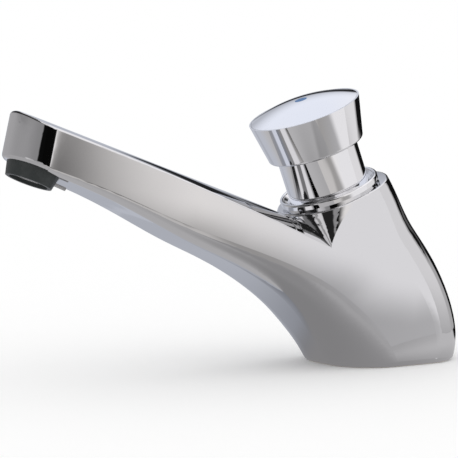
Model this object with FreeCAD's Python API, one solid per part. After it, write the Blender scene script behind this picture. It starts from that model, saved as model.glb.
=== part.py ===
import FreeCAD, Part
import math
import os

os.makedirs("parts", exist_ok=True)
V = FreeCAD.Vector

# Frame: millimetres, +Z up, the spout points to -Y, the tap is symmetric about X = 0.
# The origin is the centre of the water inlet on the flat underside of the base.
# Heights named rise are measured along the button's axis from the tower's rim,
# and drops are measured the other way. Outlet sizes are measured from the spout's underside.

# Outside of the casting
button_tilt = 21.5
rim_centre_y = -26.4
rim_centre_z = 72.1
crest_slope = 19.6
crest_y = -59.1
crest_z = 67.0
crown_radius = 33.0
outlet_tilt = 22.5
outlet_y = -168.1
tip_radius = 12.9
tip_depth = 18.9
tip_upright = 9.5
base_front = 30.5
base_back = 31.3
base_half_width = 26.0
base_edge_radius = 2.5
tower_front = 22.3
rim_corner = 20.0
tower_half_width = 22.2
tower_foot_half_width = 24.0
tower_foot_corner = 1.6
tower_foot_drop = 14.0
tower_flare = 7.5
crown_edge_radius = 0.9
rim_edge_radius = 0.8

# Push button, its neck and the collar ring
button_rim_radius = 23.9
button_foot_radius = 20.4
button_height = 17.8
button_foot_rise = 20.5
button_edge_radius = 1.2
button_rim_width = 0.7
button_roof = 2.0
dome_height = 4.3
plate_thickness = 2.0
dot_radius = 2.6
dot_depth = 1.2
neck_radius = 17.2
neck_roof = 6.0
ring_radius = 21.3
ring_height = 3.6
ring_foot_radius = 19.7
ring_foot_height = 0.9
press_travel = 7.0

# Cartridge
head_radius = 18.5
head_depth = 13.0
cover_radius = 13.5
cover_thickness = 3.0
neck_bore = 11.0
cartridge_radius = 14.5
cartridge_flange_radius = 15.5
cartridge_flange = 7.0
cartridge_bore = 12.2
cartridge_floor = 4.0
cartridge_skirt = 5.0
skirt_window = 9.0
chamber_depth = 50.0
seat_thickness = 3.0
seat_hole = 3.8
pocket_radius = 7.5
pocket_gap = 0.4
stem_radius = 3.0
spindle_radius = 2.2
spindle_end = 0.5
stem_collar_radius = 4.5
stem_collar = 2.0
piston_drop = 17.0
piston_thickness = 5.0
lip_width = 2.1
lip_height = 3.0
spring_mean_radius = 5.5
spring_wire = 0.8
spring_turns = 5
metering_radius = 0.7
metering_offset = 8.5
poppet_radius = 6.2
poppet_thickness = 3.0
poppet_seal = 2.0
clip_thickness = 1.0
clip_radius = 3.9
strainer_wall = 0.7
bush_radius = 5.9
bush_flange_radius = 7.6
bush_flange = 1.0
ring_cord = 0.85
stem_seal_cord = 0.7
screw_head_radius = 3.5
screw_head = 2.1
screw_radius = 1.9
screw_length = 9.0

# Waterways and the mounting face
inlet_radius = 4.5
inlet_depth = 11.0
inlet_way_radius = 3.5
inlet_way_top = 16.0
stud_hole_radius = 2.5
stud_hole_depth = 12.0
stud_spacing = 23.0
channel_radius = 5.0
channel_drop = 34.0
outlet_radius = 9.0
outlet_depth = 9.0
outlet_throat_radius = 6.5
outlet_throat_depth = 14.0
gasket_inner = 18.0
gasket_outer = 21.5
gasket_thickness = 1.8

# Outlet pieces
aerator_top_radius = 10.6
aerator_foot_radius = 9.4
aerator_height = 5.3
aerator_spigot = 6.5
aerator_bore = 7.8
insert_recess = 1.8
insert_top = 3.5
insert_hole = 0.9
regulator_top = 5.5
pin_radius = 0.75
pin_reach = 5.5
pin_drop = 2.1

# Clearances
slide_gap = 0.3
fit_gap = 0.1
running_gap = 0.05
seal_gap = 0.15

# Sizes that follow from the ones above
crest_ratio = math.tan(math.radians(crest_slope))
outlet_z = crest_z + crest_ratio * (crest_y - outlet_y) - tip_depth / math.cos(math.radians(crest_slope))
button_rim_rise = button_foot_rise + button_height
plate_floor_rise = button_rim_rise - plate_thickness
ceiling_rise = plate_floor_rise - button_roof
neck_rise = ceiling_rise - press_travel - slide_gap - bush_flange
button_bore = neck_radius + slide_gap
chamber_radius = cartridge_flange_radius + fit_gap
seat_rise = seat_thickness - chamber_depth
skirt_top_rise = seat_rise + cartridge_skirt
floor_top_rise = skirt_top_rise + cartridge_floor
piston_foot_rise = -piston_drop - piston_thickness
seal_top_rise = -chamber_depth - fit_gap
poppet_foot_rise = seal_top_rise - poppet_seal - poppet_thickness
clip_foot_rise = poppet_foot_rise - clip_thickness
pocket_depth = spindle_end - clip_foot_rise + press_travel + pocket_gap

# Sections of the casting's skin, fanned from the outlet round the throat to the base.
# Each holds the foot point on the underside, the lean back from the vertical in degrees,
# the height, the half width, and the corner radii at the foot and the head.
# The heads stand clear above the crest, which is cut to shape afterwards.
skin_sections = [
    (outlet_y, outlet_z, outlet_tilt, 38, tip_radius, 1.8, 4),
    (-158, 81.2, 22.8, 39, 13.0, 2.2, 4.5),
    (-147, 76.7, 23.3, 40, 13.4, 2.7, 5),
    (-119, 63.2, 24.6, 45, 15.3, 4.2, 7),
    (-93, 50.4, 26.5, 54, 18.0, 6.6, 10),
    (-70, 38.7, 30, 70, base_half_width - 5.3, 9.6, 17),
    (-56, 29.0, 36, 76, base_half_width - 3.4, 12.8, 21),
    (-47.4, 21.0, 45.5, 70.7, base_half_width - 2.4, 15.5, 22),
    (-39.9, 12.7, 57.5, 68.2, base_half_width - 1.2, 18, 22.5),
    (-35, 6.5, 71, 67.6, base_half_width - 0.3, 20, 22),
    (-32.3, 2.6, 81, 66.0, base_half_width + 0.1, 21, 22),
    (-base_front, 0, 90, base_front + base_back, base_half_width, 21.5, 22),
]


def on_button_axis(shape):
    """Moves a shape from its upright frame, whose zero is the rim, onto the button's axis."""
    moved = shape.copy()
    turn = FreeCAD.Rotation(V(1, 0, 0), button_tilt)
    moved.Placement = FreeCAD.Placement(V(0, rim_centre_y, rim_centre_z), turn).multiply(shape.Placement)
    return moved


def on_outlet_axis(shape):
    """Moves a shape from its upright frame, whose zero is the underside, onto the outlet's axis."""
    moved = shape.copy()
    turn = FreeCAD.Rotation(V(1, 0, 0), -outlet_tilt)
    moved.Placement = FreeCAD.Placement(V(0, outlet_y, outlet_z), turn).multiply(shape.Placement)
    return moved


def rod(radius, low, high, x=0.0, y=0.0):
    """Upright cylinder between two heights."""
    return Part.makeCylinder(radius, high - low, V(x, y, low))


def tube(outer, inner, low, high):
    """Upright tube between two heights."""
    return rod(outer, low, high).cut(rod(inner, low, high))


def torus(mean_radius, cord, height):
    """Round-section ring."""
    return Part.makeTorus(mean_radius, cord, V(0, 0, height))


def turned(outline):
    """Solid of revolution about Z from edges drawn in the XZ plane."""
    return Part.Face(Part.Wire(outline)).revolve(V(0, 0, 0), V(0, 0, 1), 360)


def run(*points):
    """Straight edges through (radius, height) points."""
    corners = [V(r, 0, z) for r, z in points]
    return [Part.LineSegment(a, b).toShape() for a, b in zip(corners, corners[1:])]


def bend(start, middle, end):
    """Arc edge through three (radius, height) points."""
    return Part.Arc(*[V(r, 0, z) for r, z in (start, middle, end)]).toShape()


def skin_section(foot_y, foot_z, degrees, height, half_width, foot_corner, head_corner):
    """Closed rounded outline, square to X = 0, standing on its foot point."""
    angle = math.radians(degrees)
    foot = V(0, foot_y, foot_z)
    up = V(0, math.sin(angle), math.cos(angle))

    def at(x, q):
        return foot + V(x, 0, 0) + up * q

    def corner(side, centre, turn, radius):
        middle = radius * math.sqrt(0.5)
        x_centre = half_width - radius
        outer = at(side * half_width, centre)
        half_way = at(side * (x_centre + middle), centre + turn * middle)
        inner = at(side * x_centre, centre + turn * radius)
        return outer, half_way, inner

    foot_right = corner(1, foot_corner, -1, foot_corner)
    foot_left = corner(-1, foot_corner, -1, foot_corner)
    head_right = corner(1, height - head_corner, 1, head_corner)
    head_left = corner(-1, height - head_corner, 1, head_corner)
    edges = [
        Part.LineSegment(foot_left[2], foot_right[2]),
        Part.Arc(*reversed(foot_right)),
        Part.LineSegment(foot_right[0], head_right[0]),
        Part.Arc(*head_right),
        Part.LineSegment(head_right[2], head_left[2]),
        Part.Arc(*reversed(head_left)),
        Part.LineSegment(head_left[0], foot_left[0]),
        Part.Arc(*foot_left),
    ]
    return Part.Wire([edge.toShape() for edge in edges])


def stand_up(shape):
    """Stands the tip's walls more upright than the outlet's axis, and keeps the underside's plane."""
    back = FreeCAD.Matrix()
    back.move(V(0, -outlet_y, -outlet_z))
    back.rotateX(math.radians(outlet_tilt))
    shear = FreeCAD.Matrix()
    shear.A23 = -math.tan(math.radians(tip_upright))
    return shape.transformGeometry(back.inverse().multiply(shear).multiply(back))


def skin():
    """Loft through the fanned sections, with the half-round tip turned about the outlet's axis."""
    wires = [skin_section(*section) for section in skin_sections]
    wires[0] = Part.Wire(stand_up(wires[0]).Edges)
    body = Part.makeLoft(wires, True, False)
    height, width, corner = skin_sections[0][3:6]
    inset = corner * (1 - math.sqrt(0.5))
    outline = run((0, height), (0, 0), (width - corner, 0))
    outline.append(bend((width - corner, 0), (width - inset, inset), (width, corner)))
    outline += run((width, corner), (width, height), (0, height))
    tip = Part.Face(Part.Wire(outline)).revolve(V(0, 0, 0), V(0, 0, 1), -180)
    return body.fuse(stand_up(on_outlet_axis(tip)))


def above_crown():
    """Everything over the crowned top of the spout, with the crown's line carried on to the back."""
    reach = 160
    barrel = Part.makeCylinder(crown_radius, 2 * reach, V(0, -reach, -crown_radius), V(0, 1, 0))
    block = Part.makeBox(4 * crown_radius, 2 * reach, 4 * crown_radius)
    block.translate(V(-2 * crown_radius, -reach, -0.65 * crown_radius))
    region = block.cut(barrel)
    region.Placement = FreeCAD.Placement(V(0, crest_y, crest_z), FreeCAD.Rotation(V(1, 0, 0), -crest_slope))
    return region


def tower_outline(rise, half_width, corner):
    """Outline across the button's axis: a rounded front with walls that flare towards the back."""
    back = 70
    corner_y = corner - tower_front
    corner_x = half_width - corner
    diagonal = corner * math.sqrt(0.5)
    back_x = half_width + (back - corner_y) * math.tan(math.radians(tower_flare))
    right = [
        V(corner_x, -tower_front, rise),
        V(corner_x + diagonal, corner_y - diagonal, rise),
        V(half_width, corner_y, rise),
    ]
    left = [V(-p.x, p.y, rise) for p in right]
    ends = V(back_x, back, rise), V(-back_x, back, rise)
    edges = [
        Part.LineSegment(left[0], right[0]),
        Part.Arc(*right),
        Part.LineSegment(right[2], ends[0]),
        Part.LineSegment(*ends),
        Part.LineSegment(ends[1], left[2]),
        Part.Arc(*reversed(left)),
    ]
    return Part.Wire([edge.toShape() for edge in edges])


def tower_column():
    """Column under the rim, whose front corners tighten on the way down."""
    low = tower_outline(-tower_foot_drop, tower_foot_half_width, tower_foot_corner)
    column = Part.makeLoft([low, tower_outline(0, tower_half_width, rim_corner)], True, True)
    column = column.fuse(Part.Face(low).extrude(V(0, 0, -80)))
    return on_button_axis(column)


def water_channel():
    """Straight way from the chamber up the spout to the outlet."""
    start = on_button_axis(Part.Vertex(0, 0, -channel_drop)).Point
    end = on_outlet_axis(Part.Vertex(0, 0, outlet_throat_depth - channel_radius)).Point
    return Part.makeCylinder(channel_radius, start.distanceToPoint(end), start, end - start)


def crown_edges(shell, low_y, high_y):
    """Edges round the crowned top whose middle lies between two distances along the spout."""
    found = []
    for face in shell.Faces:
        if face.Surface.TypeId == "Part::GeomCylinder" and abs(face.Surface.Radius - crown_radius) < 0.001:
            for edge in face.OuterWire.Edges:
                middle = edge.valueAt((edge.FirstParameter + edge.LastParameter) / 2)
                if low_y < middle.y < high_y and abs(middle.x) > 0.01:
                    found.append(edge)
    return found


def rounded_envelope():
    """Outside of the casting, with its edges rounded."""
    shell = skin().cut(above_crown().cut(tower_column()))
    base_edges = [e for e in shell.Edges if e.BoundBox.ZMax < 0.01]
    shell = shell.makeFillet(base_edge_radius, base_edges)
    shell = shell.makeFillet(crown_edge_radius, crown_edges(shell, outlet_y - 2 * tip_radius, -60))
    rim = [e for e in shell.Edges if all(abs(rise_of(v.Point)) < 0.001 for v in e.Vertexes)]
    return shell.makeFillet(rim_edge_radius, rim)


def rise_of(point):
    """Height of a point over the rim, along the button's axis."""
    angle = math.radians(button_tilt)
    return (point.z - rim_centre_z) * math.cos(angle) - (point.y - rim_centre_y) * math.sin(angle)


def body_casting():
    """Chromed casting: base, tower and spout in one, with its bores."""
    shell = rounded_envelope()
    bores = rod(head_radius + fit_gap, -head_depth, 10)
    bores = bores.fuse(rod(chamber_radius, -chamber_depth, -head_depth))
    bores = bores.fuse(rod(pocket_radius, -pocket_depth, -chamber_depth))
    shell = shell.cut(on_button_axis(bores))
    shell = shell.cut(rod(inlet_radius, 0, inlet_depth).fuse(rod(inlet_way_radius, inlet_depth, inlet_way_top)))
    for side in (-1, 1):
        shell = shell.cut(rod(stud_hole_radius, 0, stud_hole_depth, x=side * stud_spacing / 2))
    shell = shell.cut(tube(gasket_outer, gasket_inner, 0, gasket_thickness))
    outlet = rod(outlet_radius, 0, outlet_depth).fuse(rod(aerator_top_radius + slide_gap, -aerator_height, 0))
    outlet = outlet.fuse(rod(outlet_throat_radius, outlet_depth, outlet_throat_depth))
    shell = shell.cut(on_outlet_axis(outlet))
    return shell.cut(water_channel())


def neck_sleeve():
    """Chromed brass tube that screws into the tower and guides the button."""
    sleeve = rod(neck_radius, 0, neck_rise).fuse(rod(head_radius, -head_depth, 0))
    sleeve = sleeve.cut(rod(neck_bore, -head_depth, neck_rise - neck_roof))
    sleeve = sleeve.cut(rod(cover_radius + fit_gap, -head_depth, cover_thickness - head_depth))
    sleeve = sleeve.cut(rod(bush_radius + fit_gap, 0, neck_rise))
    groove = tube(head_radius + 1, head_radius - 2 * ring_cord, groove_low(), groove_low() + 2.4 * ring_cord)
    return on_button_axis(sleeve.cut(groove).removeSplitter())


def groove_low():
    """Lower side of the groove round the neck sleeve's thread."""
    return -0.85 * head_depth


def head_o_ring():
    """Rubber ring in the neck sleeve's groove."""
    return on_button_axis(torus(head_radius - ring_cord, ring_cord, groove_low() + 1.2 * ring_cord))


def collar_ring():
    """Dished trim ring with a rolled lip and a narrow foot that leaves a shadow gap."""
    bore = neck_radius + seal_gap
    lip = 0.5 * (ring_radius - ring_foot_radius)
    band_low = ring_foot_height
    shoulder = ring_height - lip
    outline = run((bore, 0), (ring_foot_radius, 0), (ring_foot_radius, band_low), (ring_radius, band_low + 0.3))
    outline += run((ring_radius, band_low + 0.3), (ring_radius, shoulder))
    outline.append(bend((ring_radius, shoulder), (ring_radius - lip, ring_height), (ring_radius - 2 * lip, shoulder)))
    outline += run((ring_radius - 2 * lip, shoulder), (bore + 1.1, 1.5), (bore, 1.3), (bore, 0))
    return on_button_axis(turned(outline))


def push_button():
    """Tapered cap that slides down over the neck."""
    foot, rim = button_foot_rise, button_rim_rise
    slope = (button_rim_radius - button_foot_radius) / button_height
    round_top = foot + button_edge_radius
    wall = button_foot_radius + slope * button_edge_radius
    inset = button_edge_radius * (1 - math.sqrt(0.5))
    outline = run((button_bore, ceiling_rise), (button_bore, foot), (wall - button_edge_radius, foot))
    outline.append(bend((wall - button_edge_radius, foot), (wall - inset, foot + inset), (wall, round_top)))
    outline += run((wall, round_top), (button_rim_radius, rim), (button_rim_radius - button_rim_width, rim))
    seat = button_rim_radius - button_rim_width
    outline += run((seat, rim), (seat, plate_floor_rise), (screw_radius + fit_gap, plate_floor_rise))
    outline += run(
        (screw_radius + fit_gap, plate_floor_rise),
        (screw_radius + fit_gap, ceiling_rise),
        (button_bore, ceiling_rise),
    )
    return on_button_axis(turned(outline))


def dome_radius():
    """Radius of the sphere that the button's top plate is part of."""
    edge = button_rim_radius - button_rim_width - fit_gap
    return (edge * edge + dome_height * dome_height) / (2 * dome_height)


def top_plate():
    """Domed cover that is pressed into the button's rim."""
    edge = button_rim_radius - button_rim_width - fit_gap
    crown = button_rim_rise + dome_height
    centre = crown - dome_radius()
    half = math.asin(edge / dome_radius()) / 2
    middle = (dome_radius() * math.sin(half), centre + dome_radius() * math.cos(half))
    outline = run((0, crown), (0, plate_floor_rise), (edge, plate_floor_rise), (edge, button_rim_rise))
    outline.append(bend((edge, button_rim_rise), middle, (0, crown)))
    plate = turned(outline)
    plate = plate.cut(rod(dot_radius + running_gap, crown - dot_depth, crown + 1))
    plate = plate.cut(rod(screw_head_radius + fit_gap, plate_floor_rise, plate_floor_rise + screw_head + fit_gap))
    return on_button_axis(plate)


def blue_index_dot():
    """Coloured disc in the middle of the dome, for cold water."""
    crown = button_rim_rise + dome_height
    ball = Part.makeSphere(dome_radius(), V(0, 0, crown - dome_radius()))
    return on_button_axis(rod(dot_radius, crown - dot_depth, crown + 1).common(ball))


def button_screw():
    """Screw that ties the button to its stem, under the top plate."""
    head = rod(screw_head_radius, plate_floor_rise, plate_floor_rise + screw_head)
    driver = Part.makeCylinder(1.5, 1.2, V(0, 0, plate_floor_rise + screw_head - 1.2))
    shank = rod(screw_radius, plate_floor_rise - screw_length, plate_floor_rise)
    return on_button_axis(head.fuse(shank).cut(driver).removeSplitter())


def push_stem():
    """Stainless stem from the button to the poppet."""
    stem = rod(stem_radius, seat_rise + 1, ceiling_rise)
    stem = stem.fuse(rod(stem_collar_radius, -piston_drop, stem_collar - piston_drop))
    stem = stem.fuse(rod(spindle_radius, clip_foot_rise - spindle_end, seat_rise + 1))
    stem = stem.cut(rod(screw_radius, plate_floor_rise - screw_length, ceiling_rise))
    return on_button_axis(stem.removeSplitter())


def stem_bush():
    """Plastic guide for the stem in the neck's roof."""
    bush = tube(bush_radius, stem_radius + running_gap, neck_rise - neck_roof, neck_rise)
    flange = tube(bush_flange_radius, stem_radius + running_gap, neck_rise, neck_rise + bush_flange)
    return on_button_axis(bush.fuse(flange).removeSplitter())


def chamber_cover():
    """Disc that closes the timing chamber under the neck sleeve."""
    low = -head_depth
    cover = tube(cover_radius, stem_radius + slide_gap, low, low + cover_thickness)
    pocket = rod(stem_radius + slide_gap + 2 * stem_seal_cord, low + 0.7, low + cover_thickness)
    return on_button_axis(cover.cut(pocket))


def stem_seal():
    """Small rubber ring round the stem, in the chamber cover."""
    height = -head_depth + 0.7 + stem_seal_cord
    return on_button_axis(torus(stem_radius + slide_gap + stem_seal_cord, stem_seal_cord, height))


def cartridge_body():
    """Brass cylinder that holds the piston, standing on the seat on a skirt with windows."""
    shell = rod(cartridge_radius, seat_rise, -head_depth)
    shell = shell.fuse(rod(cartridge_flange_radius, -head_depth - cartridge_flange, -head_depth))
    shell = shell.cut(rod(cartridge_bore, floor_top_rise, -head_depth))
    shell = shell.cut(rod(cartridge_bore, seat_rise, skirt_top_rise))
    shell = shell.cut(rod(stem_radius + slide_gap, skirt_top_rise, floor_top_rise))
    shell = shell.cut(rod(metering_radius, skirt_top_rise, floor_top_rise, y=metering_offset))
    window = Part.makeBox(skirt_window, 3 * cartridge_radius, cartridge_skirt - 1)
    window.translate(V(-skirt_window / 2, -1.5 * cartridge_radius, seat_rise + 1))
    across = window.copy()
    across.rotate(V(0, 0, 0), V(0, 0, 1), 90)
    shell = shell.cut(window).cut(across)
    low = cartridge_groove_low()
    groove = tube(cartridge_flange_radius + 1, cartridge_flange_radius - 2 * ring_cord, low, low + 2.4 * ring_cord)
    return on_button_axis(shell.cut(groove).removeSplitter())


def cartridge_groove_low():
    """Lower side of the groove round the cartridge's flange."""
    return -head_depth - 0.65 * cartridge_flange


def cartridge_o_ring():
    """Rubber ring between the cartridge and the casting."""
    height = cartridge_groove_low() + 1.2 * ring_cord
    return on_button_axis(torus(cartridge_flange_radius - ring_cord, ring_cord, height))


def valve_seat():
    """Seat ring on the chamber's floor, held down by the cartridge's skirt."""
    return on_button_axis(tube(cartridge_radius, seat_hole, -chamber_depth, seat_rise))


def piston():
    """Plastic piston on the stem, with a hole for the metering pin."""
    disc = tube(cartridge_bore - fit_gap, stem_radius, piston_foot_rise, -piston_drop)
    disc = disc.cut(tube(cartridge_bore, cartridge_bore - lip_width, piston_foot_rise, piston_foot_rise + lip_height))
    disc = disc.cut(rod(metering_radius + slide_gap, piston_foot_rise, -piston_drop, y=metering_offset))
    return on_button_axis(disc)


def piston_lip_seal():
    """Rubber cup seal round the piston's foot."""
    outer = cartridge_bore - running_gap
    inner = cartridge_bore - lip_width
    low, high = piston_foot_rise, piston_foot_rise + lip_height
    outline = run((inner, low), (inner + 0.6, low), (inner + 0.9, high - 1), (outer - 0.7, high - 1), (outer - 0.5, low))
    outline += run((outer - 0.5, low), (outer, low), (outer - running_gap, high), (inner, high), (inner, low))
    return on_button_axis(turned(outline))


def return_spring():
    """Wound spring between the cartridge's floor and the piston."""
    low = floor_top_rise + spring_wire
    height = piston_foot_rise - spring_wire - low
    helix = Part.makeHelix(height / spring_turns, height, spring_mean_radius)
    pitch_angle = math.atan2(height / spring_turns, 2 * math.pi * spring_mean_radius)
    heading = V(0, math.cos(pitch_angle), math.sin(pitch_angle))
    section = Part.Wire(Part.makeCircle(spring_wire, V(spring_mean_radius, 0, 0), heading))
    coil = Part.Wire(helix).makePipeShell([section], True, True)
    coil.translate(V(0, 0, low))
    return on_button_axis(coil)


def metering_pin():
    """Thin steel pin that stands on the cartridge's floor and meters the flow past the piston."""
    return on_button_axis(rod(metering_radius, skirt_top_rise, -piston_drop + 1.5, y=metering_offset))


def poppet():
    """Valve disc below the seat, which the button pushes open."""
    return on_button_axis(tube(poppet_radius, spindle_radius, poppet_foot_rise, seal_top_rise - poppet_seal))


def poppet_seal_ring():
    """Rubber face of the poppet."""
    return on_button_axis(tube(poppet_radius, spindle_radius, seal_top_rise - poppet_seal, seal_top_rise))


def poppet_clip():
    """Open retaining clip under the poppet."""
    clip = tube(clip_radius, spindle_radius, clip_foot_rise, poppet_foot_rise)
    mouth = Part.makeBox(2.4, clip_radius + 1, 3 * clip_thickness)
    mouth.translate(V(-1.2, 0.5, clip_foot_rise - clip_thickness))
    return on_button_axis(clip.cut(mouth))


def inlet_strainer():
    """Fine screen tube round the poppet, in the inlet pocket."""
    outer = pocket_radius - fit_gap
    return on_button_axis(tube(outer, outer - strainer_wall, -pocket_depth, -chamber_depth))


def base_gasket():
    """Flat rubber ring in the groove of the base."""
    return tube(gasket_outer - fit_gap, gasket_inner + fit_gap, 0, gasket_thickness)


def aerator_housing():
    """Tapered black ring with a spigot that screws into the outlet."""
    spigot = outlet_radius - fit_gap
    outline = run(
        (aerator_bore, -aerator_height),
        (aerator_foot_radius, -aerator_height),
        (aerator_top_radius, 0),
        (spigot, 0),
        (spigot, aerator_spigot),
        (aerator_bore, aerator_spigot),
        (aerator_bore, -aerator_height),
    )
    ring = turned(outline)
    hole = Part.makeCylinder(pin_radius, aerator_top_radius, V(0, 0, -pin_drop), V(0, 1, 0))
    return on_outlet_axis(ring.cut(hole))


def aerator_insert():
    """Straightener disc with rings of small holes."""
    low = insert_recess - aerator_height
    disc = rod(aerator_bore - fit_gap, low, insert_top)
    disc = disc.cut(rod(insert_hole, low, insert_top))
    for count, reach in ((6, 2.9), (12, 5.6)):
        for step in range(count):
            turn = 2 * math.pi * step / count
            disc = disc.cut(rod(insert_hole, low, insert_top, reach * math.cos(turn), reach * math.sin(turn)))
    return on_outlet_axis(disc)


def flow_regulator():
    """Disc that limits the flow, over the straightener."""
    disc = rod(aerator_bore - fit_gap, insert_top, regulator_top)
    return on_outlet_axis(disc.cut(tube(5.0, 3.4, insert_top, regulator_top)).fuse(regulator_spokes()))


def regulator_spokes():
    """Spokes that carry the regulator's middle."""
    return Part.makeBox(10.6, 1.2, regulator_top - insert_top, V(-5.3, -0.6, insert_top))


def aerator_washer():
    """Rubber washer between the aerator and the outlet's shoulder."""
    return on_outlet_axis(tube(outlet_radius - fit_gap, outlet_throat_radius, aerator_spigot, outlet_depth))


def aerator_locking_pin():
    """Small steel pin through the back of the aerator ring."""
    start = aerator_bore + fit_gap
    length = aerator_top_radius + pin_reach - start
    pin = Part.makeCylinder(pin_radius, length, V(0, start, -pin_drop), V(0, 1, 0))
    return on_outlet_axis(pin)


pieces = {
    "body_casting": body_casting,
    "neck_sleeve": neck_sleeve,
    "head_o_ring": head_o_ring,
    "collar_ring": collar_ring,
    "push_button": push_button,
    "button_top_plate": top_plate,
    "blue_index_dot": blue_index_dot,
    "button_screw": button_screw,
    "push_stem": push_stem,
    "stem_bush": stem_bush,
    "chamber_cover": chamber_cover,
    "stem_seal": stem_seal,
    "cartridge_body": cartridge_body,
    "cartridge_o_ring": cartridge_o_ring,
    "valve_seat": valve_seat,
    "piston": piston,
    "piston_lip_seal": piston_lip_seal,
    "return_spring": return_spring,
    "metering_pin": metering_pin,
    "poppet": poppet,
    "poppet_seal": poppet_seal_ring,
    "poppet_clip": poppet_clip,
    "inlet_strainer": inlet_strainer,
    "base_gasket": base_gasket,
    "aerator_housing": aerator_housing,
    "aerator_insert": aerator_insert,
    "flow_regulator": flow_regulator,
    "aerator_washer": aerator_washer,
    "aerator_locking_pin": aerator_locking_pin,
}

for name, make in pieces.items():
    shape = make()
    if shape.ShapeType == "Compound" and len(shape.Solids) == 1:
        shape = shape.Solids[0]
    print(name, shape.isValid(), len(shape.Solids), round(shape.Volume, 1))
    shape.exportStep("parts/" + name + ".step")
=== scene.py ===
import math

import bpy
from mathutils import Matrix, Vector


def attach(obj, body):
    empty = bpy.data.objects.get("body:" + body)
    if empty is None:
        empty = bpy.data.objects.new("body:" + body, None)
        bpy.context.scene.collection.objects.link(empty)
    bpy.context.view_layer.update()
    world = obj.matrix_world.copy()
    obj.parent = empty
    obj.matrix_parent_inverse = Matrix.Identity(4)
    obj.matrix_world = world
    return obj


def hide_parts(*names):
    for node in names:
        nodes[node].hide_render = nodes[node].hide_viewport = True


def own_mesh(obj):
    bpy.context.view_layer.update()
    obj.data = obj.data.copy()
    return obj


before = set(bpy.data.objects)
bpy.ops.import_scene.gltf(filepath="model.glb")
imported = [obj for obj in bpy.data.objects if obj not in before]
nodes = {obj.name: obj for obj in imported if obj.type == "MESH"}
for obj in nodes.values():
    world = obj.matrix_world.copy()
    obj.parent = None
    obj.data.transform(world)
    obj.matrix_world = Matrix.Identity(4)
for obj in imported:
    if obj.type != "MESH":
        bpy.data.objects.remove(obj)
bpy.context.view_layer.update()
bpy.ops.object.select_all(action="DESELECT")

# Camera
# A long lens a little above the basin's ledge, in front of the tap's right-hand side.
# It stands 0.85 m away and leans by a quarter of a degree.
camera_place = Vector((0.706319, -0.545731, 0.125944))
camera_target = Vector((0.0, -0.077599, 0.059117))
camera_lean = math.radians(0.25)
bpy.ops.object.camera_add(location=camera_place)
camera = bpy.context.object
aim = (camera_target - camera_place).to_track_quat("-Z", "Y").to_matrix().to_4x4()
camera.matrix_world = Matrix.Translation(camera_place) @ aim @ Matrix.Rotation(camera_lean, 4, "Z")
camera.data.sensor_width = 36.0
camera.data.lens = 163.3
camera.data.clip_start = 0.01
bpy.context.scene.camera = camera


# Casting
# Base, tower and spout are one brass casting, ground and polished by hand and chrome plated.
# The plate stops at the rim of the underside, so the foot and the bores are bare turned brass.
class Socket:
    """One output of a shader node, which takes part in sums with numbers and other outputs."""

    def __init__(self, tree, output=None):
        self.tree = tree
        self.output = output

    def node(self, kind, settings, sockets, output=0):
        """Adds a node, sets it up, feeds its sockets, and gives one of its outputs."""
        made = self.tree.nodes.new("ShaderNode" + kind)
        for name, value in settings.items():
            if name == "stops":
                while len(made.color_ramp.elements) < len(value):
                    made.color_ramp.elements.new(1.0)
                for element, (position, colour) in zip(made.color_ramp.elements, value):
                    element.position = position
                    element.color = (*colour, 1.0)
            else:
                setattr(made, name, value)
        for name, value in sockets.items():
            if isinstance(value, Socket):
                self.tree.links.new(value.output, made.inputs[name])
            else:
                made.inputs[name].default_value = value
        return Socket(self.tree, made.outputs[output] if made.outputs else None)

    def maths(self, operation, first, second=0.0):
        return self.node("Math", {"operation": operation}, {0: first, 1: second})

    def __add__(self, other):
        return self.maths("ADD", self, other)

    def __radd__(self, other):
        return self.maths("ADD", other, self)

    def __sub__(self, other):
        return self.maths("SUBTRACT", self, other)

    def __rsub__(self, other):
        return self.maths("SUBTRACT", other, self)

    def __mul__(self, other):
        return self.maths("MULTIPLY", self, other)

    def __rmul__(self, other):
        return self.maths("MULTIPLY", other, self)

    def __lt__(self, other):
        return self.maths("LESS_THAN", self, other)

    def part(self, axis):
        """Gives a vector's length along one axis: 0, 1 or 2 for x, y or z."""
        return self.node("SeparateXYZ", {}, {0: self}, axis)

    def rise(self, low, high):
        """Goes smoothly from 0 at low to 1 at high."""
        limits = {"From Min": low, "From Max": high, "Value": self}
        return self.node("MapRange", {"interpolation_type": "SMOOTHSTEP"}, limits)

    def tint(self, low_colour, high_colour):
        """Gives one colour where it is 0 and another where it is 1."""
        return self.node("ValToRGB", {"stops": [(0.0, low_colour), (1.0, high_colour)]}, {"Fac": self})

    def noise(self, size, detail=2.0):
        """Clouds a place with patches that have a size in metres."""
        return self.node("TexNoise", {}, {"Vector": self, "Scale": 1.0 / size, "Detail": detail})

    def bump(self, depth):
        """Raises the surface by a height of 0 to 1 times a depth in metres."""
        return self.node("Bump", {}, {"Height": self, "Distance": depth, "Strength": 1.0})


def new_finish(name):
    """Starts a material, and gives it with the object's own place, which its nodes grow from."""
    material = bpy.data.materials.new(name)
    material.use_nodes = True
    material.node_tree.nodes.clear()
    return material, Socket(material.node_tree).node("TexCoord", {}, {}, "Object")


def close_finish(place, sockets):
    """Ends a material with its surface."""
    surface = place.node("BsdfPrincipled", {}, sockets)
    place.node("OutputMaterial", {}, {"Surface": surface})


def dress(material, *names):
    """Gives solids of the model a material."""
    for name in names:
        for holder in nodes[name].material_slots:
            holder.material = material


cast_colour = (0.76, 0.76, 0.77)
brass_colour = (0.78, 0.58, 0.27)
plate_edge = 0.0001
ring_scale = 500.0

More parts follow.
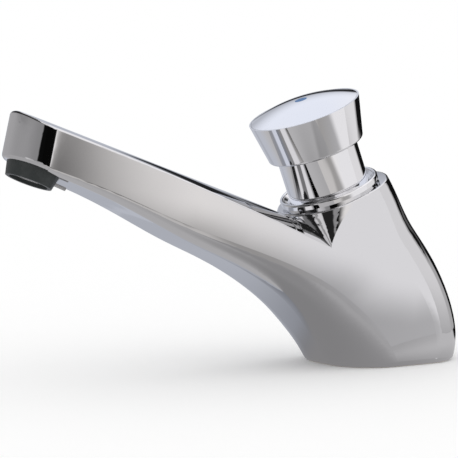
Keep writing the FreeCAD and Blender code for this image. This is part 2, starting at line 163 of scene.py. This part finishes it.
cast_chrome, place = new_finish("polished_cast_chrome")
underside = place.part(2) < plate_edge
waves = place.noise(0.018, 1.0)
smudge = place.noise(0.006, 4.0)
rings = place.node("TexWave", {"wave_type": "RINGS", "rings_direction": "Z"}, {
    "Vector": place, "Scale": ring_scale,
})
close_finish(place, {
    "Base Color": underside.tint(cast_colour, brass_colour),
    "Metallic": 1.0,
    "Roughness": 0.03 + 0.03 * smudge.rise(0.5, 0.75) + 0.22 * underside,
    "Normal": (waves * (1.0 - underside) + 0.5 * rings * underside).bump(0.00002),
})
dress(cast_chrome, "body_casting")

# Neck, collar and button
# These are turned from brass bar, polished on the lathe and chrome plated.
# The button slides down over the neck, and its domed cover is pressed into its rim.
button_tilt = math.radians(21.5)
button_axis = Vector((0.0, -math.sin(button_tilt), math.cos(button_tilt)))


def lathe_marks(place, scale, detail):
    """Gives the fine rings that turning leaves round the button's axis."""
    along = place.node("VectorMath", {"operation": "DOT_PRODUCT"}, {0: place, 1: button_axis}, "Value")
    return place.node("TexNoise", {"noise_dimensions": "1D"}, {"W": along, "Scale": scale, "Detail": detail})


turned_chrome, place = new_finish("polished_turned_chrome")
marks = lathe_marks(place, 3000.0, 3.0)
smudge = place.noise(0.007, 4.0)
close_finish(place, {
    "Base Color": (0.86, 0.86, 0.87, 1.0),
    "Metallic": 1.0,
    "Roughness": 0.03 + 0.02 * marks + 0.03 * smudge.rise(0.5, 0.75),
    "Normal": marks.bump(0.0000006),
})
dress(turned_chrome, "neck_sleeve", "collar_ring", "push_button", "button_top_plate")

# Index dot
# A glossy blue plastic disc for cold water, let into the middle of the dome.
dot_blue, place = new_finish("glossy_blue_plastic")
close_finish(place, {
    "Base Color": place.noise(0.0015).tint((0.02, 0.12, 0.31), (0.03, 0.15, 0.38)),
    "Roughness": 0.3,
    "Specular IOR Level": 0.15,
    "Coat Weight": 0.1,
})
dress(dot_blue, "blue_index_dot")

# Brass of the cartridge
# The cylinder, the seat and the poppet are turned brass, and keep the tool's fine rings.
turned_brass, place = new_finish("turned_brass")
marks = lathe_marks(place, 5000.0, 2.0)
stain = place.noise(0.004, 5.0).rise(0.45, 0.7)
close_finish(place, {
    "Base Color": stain.tint(brass_colour, (0.62, 0.42, 0.18)),
    "Metallic": 1.0,
    "Roughness": 0.22 + 0.1 * marks + 0.08 * stain,
    "Normal": marks.bump(0.000006),
})
dress(turned_brass, "cartridge_body", "valve_seat", "poppet")

# Steel pieces
# The stem, spring, screw, clip and pins are stainless steel, drawn or turned, with a grey satin skin.
satin_steel, place = new_finish("satin_stainless_steel")
drawn = place.noise(0.0004, 3.0)
stain = place.noise(0.003, 3.0)
close_finish(place, {
    "Base Color": stain.tint((0.5, 0.5, 0.5), (0.62, 0.62, 0.63)),
    "Metallic": 1.0,
    "Roughness": 0.2 + 0.12 * drawn,
    "Normal": drawn.bump(0.000008),
})
dress(satin_steel, "button_screw", "push_stem", "return_spring")
dress(satin_steel, "metering_pin", "poppet_clip", "aerator_locking_pin")

# Return spring
# Five turns of round steel wire between the cartridge's floor and the piston.
# The coil keeps its foot, and 9 of its 16 mm, when the button is pressed home.
rim_centre = Vector((0.0, -0.0264, 0.0721))
spring_depth = 0.038
spring_foot = rim_centre - spring_depth * button_axis
coil_radius = 0.0055
coil_rise = 0.0144
coil_turns = 5
wire_radius = 0.0008
wire_sides = 20
quarter_turn = 0.5 * math.pi


def wind(name, sides, radius, start, turned, pitch, turns):
    """Sweeps an outline with some sides and a radius up a screw line, and closes both its ends."""
    bpy.ops.object.select_all(action="DESELECT")
    bpy.ops.mesh.primitive_circle_add(
        vertices=sides, radius=radius, fill_type="NOTHING", location=start, rotation=turned,
    )
    winding = bpy.context.object
    winding.name = name
    bpy.ops.object.transform_apply(location=True, rotation=True, scale=True)
    screw = winding.modifiers.new("screw", "SCREW")
    screw.screw_offset = pitch
    screw.iterations = turns
    screw.steps = 40
    bpy.ops.object.modifier_apply(modifier=screw.name)
    bpy.ops.object.mode_set(mode="EDIT")
    bpy.ops.mesh.select_all(action="SELECT")
    bpy.ops.mesh.fill_holes(sides=sides)
    bpy.ops.mesh.normals_make_consistent(inside=False)
    bpy.ops.object.mode_set(mode="OBJECT")
    return winding


def settle(piece, placing, finish):
    """Moves a piece from the origin to its place, which goes into its mesh, and gives it its finish."""
    piece.matrix_world = placing
    bpy.ops.object.transform_apply(location=True, rotation=True, scale=True)
    piece.data.materials.append(finish)


spring_coil = wind(
    "return_spring_coil", wire_sides, wire_radius, (coil_radius, 0.0, wire_radius),
    (quarter_turn, 0.0, 0.0), coil_rise / coil_turns, coil_turns,
)
bpy.ops.object.shade_smooth_by_angle(angle=math.radians(40))
settle(spring_coil, Matrix.Translation(spring_foot) @ Matrix.Rotation(button_tilt, 4, "X"), satin_steel)
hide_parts("return_spring")
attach(spring_coil, "tap")
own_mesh(spring_coil)
bpy.ops.object.select_all(action="DESELECT")

# Inlet strainer
# A tube of woven stainless gauze that keeps grit away from the seat, with painted shade in the gaps of its
# weave.
gauze_pitch = 0.0006
woven_gauze, place = new_finish("woven_steel_gauze")
meshes = place.node("TexVoronoi", {"distance": "CHEBYCHEV"}, {
    "Vector": place, "Scale": 1.0 / gauze_pitch, "Randomness": 0.0,
})
# The narrow lines between the cells are painted near black: painted shade in the gaps of the weave.
wire = 1.0 - meshes.rise(0.28, 0.4)
close_finish(place, {
    "Base Color": wire.tint((0.04, 0.04, 0.04), (0.55, 0.55, 0.56)),
    "Metallic": 1.0,
    "Roughness": 0.35,
    "Normal": wire.bump(0.0001),
})
dress(woven_gauze, "inlet_strainer")

# Acetal pieces
# The bush, the chamber's cover and the piston are moulded in white acetal, slightly waxy.
white_acetal, place = new_finish("moulded_white_acetal")
cloud = place.noise(0.004, 3.0)
grain = place.noise(0.00025, 2.0)
close_finish(place, {
    "Base Color": cloud.tint((0.78, 0.78, 0.74), (0.86, 0.86, 0.83)),
    "Roughness": 0.38 + 0.1 * grain,
    "Normal": grain.bump(0.000012),
})
dress(white_acetal, "stem_bush", "chamber_cover", "piston")

# Rubber pieces
# O-rings, lip seal, poppet face, washer and base gasket are moulded in black nitrile rubber.
nitrile, place = new_finish("black_nitrile_rubber")
bloom = place.noise(0.003, 4.0).rise(0.45, 0.7)
grain = place.noise(0.0003, 3.0)
close_finish(place, {
    "Base Color": bloom.tint((0.022, 0.022, 0.023), (0.045, 0.045, 0.047)),
    "Roughness": 0.55 + 0.2 * bloom,
    "Normal": grain.bump(0.00003),
})
dress(nitrile, "stem_seal", "head_o_ring", "cartridge_o_ring", "piston_lip_seal")
dress(nitrile, "poppet_seal", "base_gasket", "aerator_washer")

# Aerator
# Its housing, straightener and regulator are moulded in black plastic with a satin skin.
# The housing screws into the outlet with its spigot.
black_moulding, place = new_finish("satin_black_plastic")
grain = place.noise(0.0003, 3.0)
scale = place.noise(0.003, 2.0).rise(0.4, 0.8)
close_finish(place, {
    "Base Color": scale.tint((0.022, 0.027, 0.027), (0.032, 0.037, 0.037)),
    "Roughness": 0.34 + 0.14 * grain + 0.05 * scale,
    "Normal": grain.bump(0.00001),
})
dress(black_moulding, "aerator_housing", "aerator_insert", "flow_regulator")

# Aerator screen
# A disc of stainless wire mesh under the straightener, which breaks up the jet.
# A flat disc is cut into squares, and its edges become the wires.
outlet_middle = Vector((0.0, -0.1681, 0.08575))
outlet_tilt = math.radians(-22.5)
disc_depth = 0.00363
disc_radius = 0.0076
wire_pitch = 0.0008
wires_each_side = 9
bpy.ops.mesh.primitive_circle_add(vertices=64, radius=disc_radius, fill_type="NGON")
aerator_screen = bpy.context.object
aerator_screen.name = "aerator_screen"
bpy.ops.object.mode_set(mode="EDIT")
for side in ((1.0, 0.0, 0.0), (0.0, 1.0, 0.0)):
    for step in range(-wires_each_side, wires_each_side + 1):
        bpy.ops.mesh.select_all(action="SELECT")
        bpy.ops.mesh.bisect(plane_co=Vector(side) * (step * wire_pitch), plane_no=side)
bpy.ops.object.mode_set(mode="OBJECT")
wires = aerator_screen.modifiers.new("wires", "WIREFRAME")
wires.thickness = 0.00026
bpy.ops.object.modifier_apply(modifier=wires.name)
outlet_place = Matrix.Translation(outlet_middle) @ Matrix.Rotation(outlet_tilt, 4, "X")
settle(aerator_screen, outlet_place @ Matrix.Translation((0.0, 0.0, -disc_depth)), satin_steel)
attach(aerator_screen, "tap")

# Threads
# The inlet is tapped for the end of the supply hose, and two blind holes for the fixing studs.
# Each thread is a ridge of brass that climbs its hole by a millimetre a turn.
thread_pitch = 0.001
thread_start = 0.0009
thread_sink = 0.15
stud_offset = 0.0115


def tap_hole(name, across, hole_radius, height, turns):
    """Gives a hole in the underside its thread, a three-sided ridge with its foot in the wall."""
    ridge_place = (hole_radius - thread_sink * height, 0.0, thread_start)
    ridge = wind(name, 3, height, ridge_place, (quarter_turn, -quarter_turn, 0.0), thread_pitch, turns)
    settle(ridge, Matrix.Translation((across, 0.0, 0.0)), turned_brass)
    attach(ridge, "tap")


tap_hole("inlet_thread", 0.0, 0.0045, 0.0003, 9)
tap_hole("stud_thread_right", stud_offset, 0.0025, 0.0002, 11)
tap_hole("stud_thread_left", -stud_offset, 0.0025, 0.0002, 11)
bpy.ops.object.select_all(action="DESELECT")

# Floor and backdrop
# A wide pale floor under the tap keeps its soft shadow, under an even white sky.
bpy.ops.mesh.primitive_circle_add(vertices=96, radius=4.0, fill_type="NGON", location=(0, 0, 0))
floor = bpy.context.object
floor.name = "studio_floor"
floor.visible_glossy = False
pale_floor, place = new_finish("pale_floor")
close_finish(place, {"Base Color": (1.0, 1.0, 1.0, 1.0), "Roughness": 1.0, "Specular IOR Level": 0.0})
floor.data.materials.append(pale_floor)

studio = bpy.data.worlds.new("studio")
bpy.context.scene.world = studio
studio.use_nodes = True
studio.node_tree.nodes.clear()
sky = Socket(studio.node_tree)
even_white = sky.node("Background", {}, {"Color": (1.0, 1.0, 1.0, 1.0), "Strength": 1.0})
sky.node("OutputWorld", {}, {"Surface": even_white})

# Light tent, table and screen
# Grey and white cloth hangs round the tap, over a table of grey card and beside a white screen.
# They show only in reflections, and their black and dark cards draw the dark lines on the chrome.
tent_middle = Vector((0.0, -0.06, 0.07))
tent_radius = 0.3
table_radius = 0.32
table_drop = 0.0005
screen_middle = (0.15, 0.035, 0.08)
screen_size = (0.001, 0.43, 0.16)
bpy.ops.mesh.primitive_uv_sphere_add(segments=96, ring_count=48, radius=tent_radius, location=tent_middle)
tent = bpy.context.object
tent.name = "light_tent"
bpy.ops.mesh.primitive_circle_add(
    vertices=96, radius=table_radius, fill_type="NGON", location=(0.0, tent_middle.y, -table_drop),
)
table = bpy.context.object
table.name = "table_card"
bpy.ops.mesh.primitive_cube_add(size=1.0, location=screen_middle, scale=screen_size)
screen = bpy.context.object
screen.name = "white_screen"
bpy.ops.object.transform_apply(location=True, rotation=True, scale=True)
for cloth in (tent, table, screen):
    cloth.visible_camera = False
    cloth.visible_diffuse = False
    cloth.visible_shadow = False
    cloth.visible_transmission = False


def hang(bearing, height, light, cards):
    """Puts soft-edged cards on a cloth that has a level of light.

    Each card has four bearings and four heights, where its edges start and end, and its own level.
    Edges outside the cloth's range let a card run on to the cloth's end.
    """
    for sides, heights, level in cards:
        mask = bearing.rise(*sides[:2]) * (1.0 - bearing.rise(*sides[2:]))
        mask = mask * height.rise(*heights[:2]) * (1.0 - height.rise(*heights[2:]))
        light = light + mask * (level - light)
    return light


def bearing_of(place):
    """Gives the bearing of a place in degrees: 0 on the tap's right, 90 behind it, -90 before it."""
    return place.maths("ARCTAN2", place.part(1), place.part(0)) * math.degrees(1.0)


def glow(light, cool):
    """Ends a cloth that shines with a level of light, bluish where cool is 1."""
    colour = light.node("CombineColor", {}, {
        0: light * (1.0 - 0.12 * cool),
        1: light * (0.985 - 0.07 * cool),
        2: light * (1.0 + 0.02 * cool),
    })
    shine = light.node("Emission", {}, {"Color": colour, "Strength": 1.0})
    light.node("OutputMaterial", {}, {"Surface": shine})


screen_cloth, place = new_finish("white_screen")
screen.data.materials.append(screen_cloth)
north = place.part(1)
up = place.part(2)
between_ends = place.maths("MAXIMUM", place.maths("MINIMUM", north, 0.09), -0.048)
above_foot = (up + 0.32 * between_ends).rise(0.036, 0.06)
light = hang(north, up, 0.4 + 1.2 * north, [
    ((-1.0, -0.9, -0.06, -0.035), (-1.0, -0.9, 0.03, 0.045), 0.58),  # foot of its front end
])
light = hang(north, up, light + above_foot * (0.88 - light), [
    ((-1.0, -0.9, -0.117, -0.044), (0.02, 0.055, 0.9, 1.0), 0.003),  # black front end
])
glow(light, 0.4 * north.rise(-0.05, 0.03) - 0.35)

table_card, place = new_finish("grey_table_card")
table.data.materials.append(table_card)
bearing = bearing_of(place)
reach = place.node("VectorMath", {"operation": "LENGTH"}, {0: place}, "Value")
light = hang(bearing, reach, 0.275 + 0.17 * reach.rise(0.02, 0.12), [
    ((-8, 0, 10, 24), (0.03, 0.06, 9, 10), 0.31),  # right of the spout
    ((42, 58, 100, 120), (0.06, 0.15, 9, 10), 0.6),  # right of the foot
    ((-60, -30, 0, 25), (0.1, 0.2, 9, 10), 0.42),  # in front of the tip
    ((120, 150, 182, 183), (-0.02, 0.1, 9, 10), 0.52),  # behind on the left
    ((92, 97, 126, 132), (0.13, 0.17, 9, 10), 0.006),  # foot of the black card
    ((-183, -182, -60, -10), (-2, -1, 0.1, 0.18), 0.5),  # left of the tap
    ((-183, -182, -170, -130), (0.06, 0.12, 9, 10), 0.6),  # far on the left
])
glow(light, bearing.rise(100, 150) + (1.0 - bearing.rise(-175, -140)))

tent_cloth, place = new_finish("tent_cloth")
tent.data.materials.append(tent_cloth)
bearing = bearing_of(place)
spoke = place.node("VectorMath", {"operation": "NORMALIZE"}, {0: place})
lift = place.maths("ARCSINE", spoke.part(2)) * math.degrees(1.0)
light = hang(bearing, lift, 0.46, [
    ((-183, -182, 182, 183), (16, 44, 92, 93), 1.0),  # ceiling
    ((-183, -182, -20, 2), (-10, 2, 30, 46), 0.37),  # wall on the left
    ((-183, -182, -174, -150), (-10, 2, 28, 40), 0.54),  # far end of the left wall
    ((0, 16, 87, 91), (-18, 3, 22, 34), 0.8),  # wall on the right
    ((10, 35, 85, 100), (34, 42, 56, 64), 1.05),  # strip light over the screen
    ((136, 142, 182, 183), (-22, -12, 16, 26), 0.6),  # wall behind
    ((-77, -71, -56, -50), (-9, -5, 4, 7), 0.75),  # white card in front of the tower
    ((-183, -182, -130, -95), (-10, 2, 28, 40), 0.44),  # left of the tip
    ((-80, -45, -20, 2), (-10, 2, 28, 40), 0.29),  # right of the tip
    ((-42, -38, -12, 5), (0, 4, 24, 28), 0.004),  # black card beside the tip
    ((-183, -182, 182, 183), (70, 76, 92, 93), 0.35),  # grey card overhead
    ((-173, -160, -44, -37), (16, 21, 48, 58), 0.02),  # dark card over the spout
    ((-130, -115, -44, -37), (42, 52, 92, 93), 0.25),  # its upper part
    ((-85, -82, -71, -68), (17, 19, 26, 29), 0.75),  # white card beside it
    ((92, 95, 124, 132), (2, 5, 18, 24), 0.006),  # black card behind
    ((101, 104, 122, 128), (-24, -20, 2, 5), 0.006),  # its lower part
])
light = hang(bearing, lift + 0.5 * bearing, light, [
    ((88.5, 91, 139, 143), (58, 62, 80, 90), 0.006),  # its slanting top
    ((112, 122, 149, 156), (85, 89, 94, 99), 0.02),  # its far end
])
glow(light, bearing.rise(100, 150) + (1.0 - bearing.rise(-178, -160)))

bpy.context.scene.view_settings.view_transform = "Standard"
